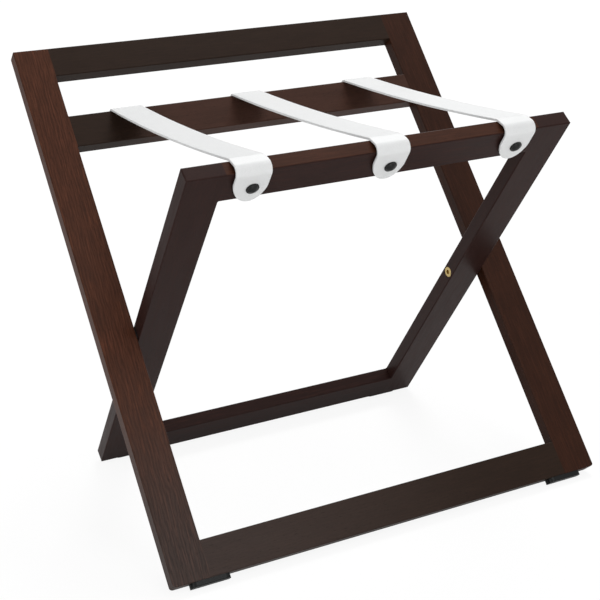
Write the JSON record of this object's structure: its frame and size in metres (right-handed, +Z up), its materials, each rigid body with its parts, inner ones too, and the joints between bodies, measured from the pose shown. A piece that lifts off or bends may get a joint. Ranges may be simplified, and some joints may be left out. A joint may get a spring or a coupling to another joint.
{
  "type": "folding luggage rack with backrest",
  "caption": "Folding wooden X-frame luggage rack with a backrest and white straps that carry the bag; the inner frame swings flat against the outer one.",
  "frame": {"origin": "on the floor under the middle of the rack's bounding box", "axes": "+X across the rack to its right, +Y to the back, +Z up; the front is at -Y"},
  "size_m": [0.6, 0.4701, 0.5709],
  "materials": {
    "dark_wood": "satin dark walnut stain on hardwood",
    "dowel_wood": "raw beech",
    "white_strap": "smooth white artificial leather",
    "black_plastic": "matt black moulded plastic",
    "button_plastic": "satin black moulded plastic",
    "brass": "plain brass",
    "steel": "zinc plated steel"
  },
  "bodies": {
    "outer_frame": {"outer_stile_left": "dark_wood", "outer_stile_right": "dark_wood", "backrest_top_rail": "dark_wood", "rear_strap_rail": "dark_wood", "outer_bottom_rail": "dark_wood", "outer_frame_dowels": "dowel_wood", "outer_foot_left": "black_plastic", "outer_foot_right": "black_plastic", "outer_foot_pins": "steel", "pivot_insert_left": "brass", "pivot_insert_right": "brass", "pivot_bolt_left": "brass", "pivot_bolt_right": "brass", "pivot_washer_left": "black_plastic", "pivot_washer_right": "black_plastic", "strap_left": "white_strap", "strap_centre": "white_strap", "strap_right": "white_strap", "rear_strap_buttons": "button_plastic", "rear_strap_screws": "steel"},
    "inner_frame": {"inner_leg_left": "dark_wood", "inner_leg_right": "dark_wood", "front_strap_rail": "dark_wood", "inner_bottom_rail": "dark_wood", "inner_frame_dowels": "dowel_wood", "inner_foot_left": "black_plastic", "inner_foot_right": "black_plastic", "inner_foot_pins": "steel", "front_strap_buttons": "button_plastic", "front_strap_screws": "steel"}
  },
  "joints": [
    {"name": "fold", "type": "hinge", "parent": "outer_frame", "child": "inner_frame", "pos_m": [0, -0.02974, 0.24693], "axis": [-1, 0, 0], "range_deg": [0, 72], "deforming": ["strap_left", "strap_centre", "strap_right"]}
  ]
}
